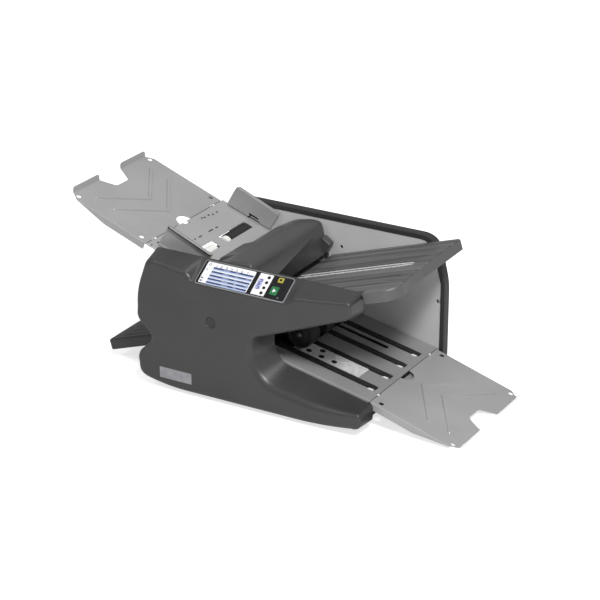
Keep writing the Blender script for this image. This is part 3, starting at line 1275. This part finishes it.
# %% Pickup rollers
PICKUP_BORE = 4.95
pickup_at = slope_point(FEED, PICKUP_ALONG, -16.5)
feed_pulley_y = front_plate_y - 37


def grooved(y0, y1, radius, pitch, depth):
    """A tube whose outside dips by the depth once in each pitch."""
    y = np.arange(y0 + 1, y1 - 1, pitch / 4)
    r = radius - depth * (np.arange(len(y)) % 4 == 0)
    profile = [(PICKUP_BORE, y0), (radius - 1, y0), (radius, y0 + 0.8), *zip(r, y), (radius, y1 - 0.8),
               (radius - 1, y1), (PICKUP_BORE, y1)]
    return turned(profile, pickup_at, 56, True)


# The start and end of each roller in Y.
NEAR_COLLAR, FAR_COLLAR, TYRE = (-43, 0.5), (40, 54.4), (55, 139.5)
nylon = together(grooved(*NEAR_COLLAR, 13, 40, 0.0), grooved(*FAR_COLLAR, 16, 40, 0.0))
dress(raw("nylon_pickup_collars", nylon), roller_nylon, body="pickup", sharp=40)
dress(raw("rubber_pickup_tyre", grooved(*TYRE, 18, 3.2, 0.5)), pad_dark, body="pickup",
      sharp=40)
pulley = [(4.5, -4.5), (12, -4.5), (12, -3), (10, -3), (10, 4), (12, 4), (12, 5.5), (4.5, 5.5)]
pulley = turned([(r, feed_pulley_y + y) for r, y in pulley], pickup_at, 40, True)
spindle = turned([(4.4, feed_pulley_y - 6), (5, feed_pulley_y - 5.4), (5, rear_cover_y + 0.4),
                  (4.4, rear_cover_y + 1)], pickup_at, 32)
dress(raw("pickup_shaft", together(spindle, pulley)), bare_steel, body="pickup",
      replaces=["pickup_roller"], sharp=40)

# %% [markdown]
# Delivery wheels. Three rubber-tyred wheels sit on one shaft. Each has a tyre with rounded shoulders
# round a dished disc with a hub. Both are profiles of one side that are mirrored and turned.

# %% Delivery wheels
SHAFT_TO_SHAFT = 60
SHAFT_ANGLE = math.radians(38)
WHEEL_W = 40
wheel_at = (drive_at[0] + SHAFT_TO_SHAFT * math.cos(SHAFT_ANGLE),
            drive_at[1] + SHAFT_TO_SHAFT * math.sin(SHAFT_ANGLE))
wheels_from = [y + 14 for y in belts_y[:3]]


def both_sides(profile):
    """A (radius, depth) profile of one side of the wheel, followed by its mirror image."""
    return profile + [(r, WHEEL_W - d) for r, d in profile[::-1]]


def three_wheels(profile, steps):
    """The profile turned about the shaft once for each wheel."""
    return together(*[turned([(r, y + d) for r, d in profile], wheel_at, steps, True) for y in wheels_from])


tyre = both_sides([(26, 2.2), (29.5, 0.8), (31.2, 1.4), (32, 3.2)])
disc = both_sides([(5, 0), (9, 0), (9.6, 1.5), (11, 3.6), (24.6, 4.2), (26.05, 3.2)])
dress(raw("delivery_tyres", three_wheels(tyre, 72)), wheel_rubber, body="wheels",
      sharp=45)
dress(raw("delivery_wheel_discs", three_wheels(disc, 64)), wheel_rubber, body="wheels",
      sharp=35)

# %% [markdown]
# The gear at the rear end of the wheels' shaft keeps the outline of the CAD gear, with straight flanks
# between a root and a tip circle, because it meshes with gears that are CAD nodes.

# %% Delivery shaft and gear
MODULE = 1.5
WHEEL_TEETH = 56
# The CAD gear has the middle of a tooth at this angle, in degrees.
WHEEL_PHASE = 228.323
PRESSURE_ANGLE = math.radians(20)
GEAR_W, GEAR_BORE_R = 10, 5.05
rear_gear_y = inner_rear_y + 6


def gear_outline(teeth, phase):
    """Four points for each tooth: the half angle is (0.215 pi m - (r - pitch) tan 20) / r."""
    pitch = teeth * MODULE / 2
    root, tip = pitch - 1.2 * MODULE, pitch + 0.85 * MODULE
    radius = np.array([root, tip, tip, root])
    half = (0.215 * np.pi * MODULE - (radius - pitch) * math.tan(PRESSURE_ANGLE)) / radius
    middle = (np.arange(teeth) * 2 * np.pi / teeth)[:, None]
    a = middle + half * np.array([-1, -1, 1, 1]) + math.radians(phase)
    return np.stack([radius * np.cos(a), radius * np.sin(a)], -1).reshape(-1, 2)


spindle = [(4.4, belts_y[0] + 12), (5, belts_y[0] + 12.6), (5, rear_gear_y + 11.4), (4.4, rear_gear_y + 12)]
dress(raw("delivery_shaft", turned(spindle, wheel_at, 32)), bare_steel, body="wheels",
      sharp=40)
gear_ring = gear_outline(WHEEL_TEETH, WHEEL_PHASE) + np.array(wheel_at)
delivery_gear = raw("delivery_gear", prism(gear_ring, rear_gear_y, rear_gear_y + GEAR_W), True)
cut(delivery_gear, rod(wheel_at, GEAR_BORE_R, rear_gear_y - 1, rear_gear_y + GEAR_W + 1))
dress(delivery_gear, gear_nylon, body="wheels", replaces=["delivery_wheels"], sharp=30)

# %% [markdown]
# Seam strips. Under each hinge seam lies a dark strip of rubber that keeps paper out of the gap. It is
# carried across in four stretches, so that it leaves room for the hinge knuckles and the finger hole.

# %% Seam strips
strip_section = np.array([(-3, -3.4), (3, -3.4), (3, -2.9), (1.5, -2.6), (-1.5, -2.6), (-3, -2.9)], float)
STRETCHES = ((5, 28), (46, 136), (186, 271), (289, 312))


def seam_strip(slope):
    """The strip's (along, up) section carried from side to side through each stretch."""
    return together(*[on_slope(prism(strip_section, tray_front_y + v0, tray_front_y + v1), slope)
                      for v0, v1 in STRETCHES])


for name, slope in (("feed_seam_strip", FEED), ("exit_seam_strip", DECK)):
    dress(raw(name, seam_strip(slope)), pad_dark, sharp=50)

# %% [markdown]
# The near guide has a U-shaped rubber edge pushed over its top flange. It follows the flange as that
# gets lower along the guide. The far guide carries a small dark clip on its face.

# %% Guide trim and clip
def along_u(section, u):
    """A section of (across, up) pairs stood up at u."""
    return np.column_stack([np.full(len(section), u), section])


trim_section = np.array([(-9.3, 53.2), (-9.3, 55.6), (-8.8, 56.0), (0.3, 56.0), (0.7, 55.6), (0.7, 53.2),
                         (0.2, 53.2), (0.2, 55.05), (-8.9, 55.05), (-8.9, 53.2)])
TRIM_FALL = 0.054
trim_rings = [along_u(trim_section + np.array([guide_front_y, -TRIM_FALL * (u - GUIDE_FROM)]), u)
              for u in (30.5, 31, 149, 149.5)]
dress(raw("front_guide_edge_trim", on_slope(loft(trim_rings), FEED)), pad_dark, body="front_guide",
      sharp=50)


def on_rear_guide(part):
    """Stands a flat (u, w) shape up on the rear guide's face, looking towards the operator."""
    points, faces = part
    u, w, out = points.T
    return on_slope((np.column_stack([u, guide_rear_y - 0.05 - out, w]), faces), FEED)


stroke = [rounded([(79, 9.0, 1), (106, 7.8, 1), (106, 12.2, 1), (79, 13.4, 1)], 4),
          rounded([(84, 10, 0.8), (88, 10, 0.8), (81, 1.2, 0.8), (77.5, 1.2, 0.8)], 4)]
printed("rear_guide_clip", stroke, film_black, 0, on_rear_guide, 0.0)

# %% [markdown]
# Small printed marks on the feed table show where paper of each size lies: short ones near the hinge
# and longer, thinner ones further down.

# %% Feed table marks
def on_feed(part):
    """Lays an (u, y, w) shape on the feed table."""
    return on_slope(part, FEED)


short_at = [(16, 61.9), (18.5, 70.2), (18.4, 86.6), (22.2, 99.9), (22.2, 116.4), (14.2, -116.9)]
long_at = [(57, -27.9, 3), (58.2, -7.1, 7), (58.3, 36.4, 9), (59.3, 60.2, 5), (11.5, -139.1, 3)]
ticks = [bar(u - 2.2, y - 2.8, u + 2.2, y + 2.8) for u, y in short_at]
ticks += [bar(u - 1.7, y - half, u + 1.7, y + half) for u, y, half in long_at]
ticks += [bar(8.3, 16, 9.6, 21), bar(6, 10.5, 10, 12)]
printed("feed_table_marks", ticks, mark_grey, 0, on_feed, 0.02)

# %% [markdown]
# Small parts on the deck. At the downstream end of each belt a pale nylon clip guides the paper's edge
# on to the tray. The holes of the wear plate have rubber grommets: a thin flange and a soft dish with
# a nearly closed middle, turned as one profile.

# %% Belt clips and grommets
clip_corners = np.array([(-31, -14.5), (-19, -14.5), (-17, -8), (-28, -9)])
clips = together(*[slab(clip_corners + np.array([0, y]), 0.05, 0.9) for y in belts_y])
dress(raw("belt_guide_clips", on_slope(clips, DECK)), roller_nylon, sharp=40)

grommet_profile = [(0.3, 0.3), (3.2, 0.3), (3.4, 1.25), (6.6, 1.25), (6.4, 1.6), (5.2, 1.7), (2.6, 0.8),
                   (0.3, 0.7)]
grommets = [loft([at_height(circle(r, p), w) for r, w in grommet_profile]) for p in plate_hole_at]
dress(raw("wear_plate_grommets", on_slope(together(*grommets), DECK)), wheel_rubber,
      sharp=50)

# %% [markdown]
# A leaf of sheet under the exit tray props it at the hinge. It folds up with the tray, so it rides on
# the tray's body and not on the frame.

# %% Leaf under the exit tray
LEAF_L, LEAF_W = 32, 70


def leaf_shape(flat):
    """A plate 9 mm under the tray that sinks with the square of the distance from the hinge."""
    return np.column_stack([flat, -9 - 0.002 * flat[:, 0] ** 2])


leaf = pressed([rectangle(LEAF_L, LEAF_W, 4, (19, paper_y + 3))], leaf_shape, 1)
dress(raw("exit_tray_leaf", on_slope(leaf, EXIT_TRAY)), deck_coat, body="exit_tray",
      sharp=50)

# %% [markdown]
# Small parts on the covers. A plug of the duller plastic fills the front cover's dimple and leaves a
# fine dark ring round itself. Two pale pins hold the corner of the bevel beside the panel.

# %% Dimple plug and bevel pins
plug = [(11.6, 1.9), (11.6, 1.2), (10.8, 0.8), (8, 1.3), (0.5, 1.7), (0.5, 1.95)]
plug = turned([(r, front_y + y) for r, y in plug], dimple_at, 64)
dress(raw("dimple_plug", plug), rear_abs, sharp=40)
pin = [(1.7, 4), (1.7, 0.6), (1.2, 0.15), (0.3, 0)]
pin_at = [(-149.3, -203.0, 296.0), (-143.8, -206.9, 276.6)]
pins = [turned([(r, y0 + y) for r, y in pin], (x, z), 20) for x, y0, z in pin_at]
dress(raw("bevel_corner_pins", together(*pins)), bezel_abs, sharp=40)

# %% [markdown]
# The pale rear plate ends in a dark edging that shows as a line round it. It is two bands that follow
# the rear cover's outline: a wide thin one on the inside, and a narrow one over the plate's edge.

# %% Rear plate edging and screw
SIDE_X, SIDE_FROM, SIDE_TO = 292, 58, 225
ROUND_FROM_Z, TOP_TO_X = 236, -262
plate_screw_at = (276.7, 182.7)


def edge_band(outer, inner, y0, y1):
    """A band that follows the rear plate's edge up its right side and over the rounded top."""
    ring = rounded([c[:3] for c in rear_face], CORNER_STEPS)
    paths = []
    for depth in (outer, inner):
        q = inset(ring, depth)
        q = q[(q[:, 1] > ROUND_FROM_Z) & (q[:, 0] > TOP_TO_X)]
        paths.append(np.concatenate([[(SIDE_X - depth, SIDE_FROM), (SIDE_X - depth, SIDE_TO)], q]))
    return prism(np.concatenate([paths[0], paths[1][::-1]]), y0, y1)


edging = together(edge_band(0.3, 10.5, inner_rear_y - 1.3, inner_rear_y - 0.05),
                  edge_band(0.3, 3.9, inner_rear_y + 0.05, rear_cover_y - 0.05))
dress(raw("rear_plate_edging", edging), rear_abs, sharp=50)
plate_screw = [(4.2, -0.1), (4.2, -0.8), (3.2, -1.6), (0.4, -1.9)]
plate_screw = turned([(r, inner_rear_y + y) for r, y in plate_screw], plate_screw_at, 32)
dress(raw("rear_plate_screw", plate_screw), screw_zinc, sharp=50)

# %% [markdown]
# Camera. It stands where the photograph's did: to the right, above and far away, with a long lens. Its
# three axes are written as the columns of its matrix, so nothing has to be aimed.

# %% Camera
EYE = (2.2472, -3.8228, 2.0916)
RIGHT, UP, BACK = (0.8640, 0.5035, 0.0), (-0.1983, 0.3403, 0.9191), (0.4628, -0.7941, 0.3939)
camera_data = bpy.data.cameras.new("camera")
camera_data.sensor_width = 36.0
camera_data.lens = 129.12
camera = bpy.data.objects.new("camera", camera_data)
camera.matrix_world = Matrix([(*row, e) for row, e in zip(zip(RIGHT, UP, BACK), EYE)] + [(0, 0, 0, 1)])
bpy.context.scene.collection.objects.link(camera)
bpy.context.scene.camera = camera
print("camera", round(Vector(EYE).length, 2), "m from the middle, lens", camera_data.lens, "mm")

# %% [markdown]
# Light. A pale room lights every side a little. One small strong lamp from the front right throws the
# upper table's shadow on the rear plate, a weaker one from the left draws the highlights on the rounded
# edges, and a broad one from above fills the trays. The room is white to the camera and to glass, and
# much dimmer to everything else, so that a white background adds no light.

# %% Room and lamps
ROOM_LIGHT = 0.33
scene = bpy.context.scene
scene.view_settings.view_transform = "Standard"
world = bpy.data.worlds.new("pale_room")
scene.world = world
world.use_nodes = True
tree = world.node_tree
tree.nodes.clear()
rays = add(tree, "ShaderNodeLightPath").outputs
either_ray = {0: rays["Is Camera Ray"], 1: rays["Is Transmission Ray"]}
seen = add(tree, "ShaderNodeMath", either_ray, operation="MAXIMUM")
strength = add(tree, "ShaderNodeMapRange", {"Value": seen.outputs[0], "To Min": ROOM_LIGHT, "To Max": 1.0})
room = add(tree, "ShaderNodeBackground", {"Color": linear("#ffffff"), "Strength": strength.outputs[0]})
add(tree, "ShaderNodeOutputWorld", {"Surface": room.outputs[0]})


def lamp(name, at, size, watts):
    """A square soft lamp that faces the machine's middle."""
    data = bpy.data.lights.new(name, "AREA")
    data.size = size
    data.energy = watts
    made = bpy.data.objects.new(name, data)
    made.location = at
    made.rotation_euler = (Vector((0, 0, 0.15)) - Vector(at)).to_track_quat("-Z", "Y").to_euler()
    bpy.context.scene.collection.objects.link(made)
    print(name, watts, "W")


lamp("key_softbox", (1.6, -1.75, 2.6), 0.6, 78)
lamp("front_softbox", (-1.7, -2.0, 2.6), 0.5, 9)
lamp("top_softbox", (0.1, 0.2, 3.0), 1.4, 14)

# %% [markdown]
# The floor is matt white paint, wide enough to reach past the picture. A glow that only the camera
# sees lifts it to the white of the background, and the machine's shadow stays on it.

# %% Floor
FLOOR_LIFT = 0.70
FLOOR_HALF_SIZE = 30000.0
floor_paint, tree, shader, place = new_finish("matt_floor_paint", Roughness=0.9)
shader.inputs["Specular IOR Level"].default_value = 0.1
shader.inputs["Base Color"].default_value = linear("#f4f4f4")
shader.inputs["Emission Color"].default_value = linear("#ffffff")
rays = add(tree, "ShaderNodeLightPath").outputs
lift = add(tree, "ShaderNodeMath", {0: rays["Is Camera Ray"], 1: FLOOR_LIFT}, operation="MULTIPLY")
tree.links.new(lift.outputs[0], shader.inputs["Emission Strength"])
corners = np.array([(-1, -1, 0), (1, -1, 0), (1, 1, 0), (-1, 1, 0)]) * FLOOR_HALF_SIZE
floor = raw("floor", (corners, [[0, 1, 2, 3]]))
floor.data.materials.append(floor_paint)
print("floor", 2 * FLOOR_HALF_SIZE * MM, "m wide")

# %% [markdown]
# The rest of the CAD nodes keep their shape, because they are plain turned or sheet parts that mostly
# hide inside the machine. They only get their finish.

# %% Finishes of the CAD nodes
numbered = range(1, 5)
node_finishes = [
    (plate_coat, ["front_frame_plate", "rear_frame_plate"]),
    (pan_coat, ["base_pan", "end_panels"]),
    (bare_steel, ["tie_bars", "hinge_pins", "wheel_arm", "conveyor_end_roller"]),
    (bare_steel, ["upper_stop", "lower_stop"]),
    (channel_dark, ["upper_fold_channel", "lower_fold_channel"]),
    (film_black, ["panel_overlay"]),
    (window_film, ["display_window"]),
    (board_green, ["circuit_board"]),
    (label_metal, ["name_plate"]),
    (motor_paint, ["motor"]),
    (bush_bronze, ["bearings", "motor_pinion"]),
    (pad_rubber, ["separator_pad"]),
    (belt_rubber, ["drive_belts"]),
    (inlet_plastic, ["mains_inlet"]),
    (rocker_plastic, ["power_rocker"]),
    (roller_rubber, ["feed_wheel", *[f"fold_roller_{i}" for i in numbered]]),
    (wheel_rubber, ["conveyor_drive_roller"]),
    (gear_nylon, ["transfer_gear", "drive_gear", *[f"fold_gear_{i}" for i in numbered]]),
]
finishes = {node_name: finish for finish, node_names in node_finishes for node_name in node_names}
for node_name, finish in finishes.items():
    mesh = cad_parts[node_name].data
    mesh.materials.clear()
    mesh.materials.append(finish)
shown = [n for n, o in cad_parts.items() if not o.hide_render]
print("nodes without a finish:", sorted(set(shown) - set(finishes)))
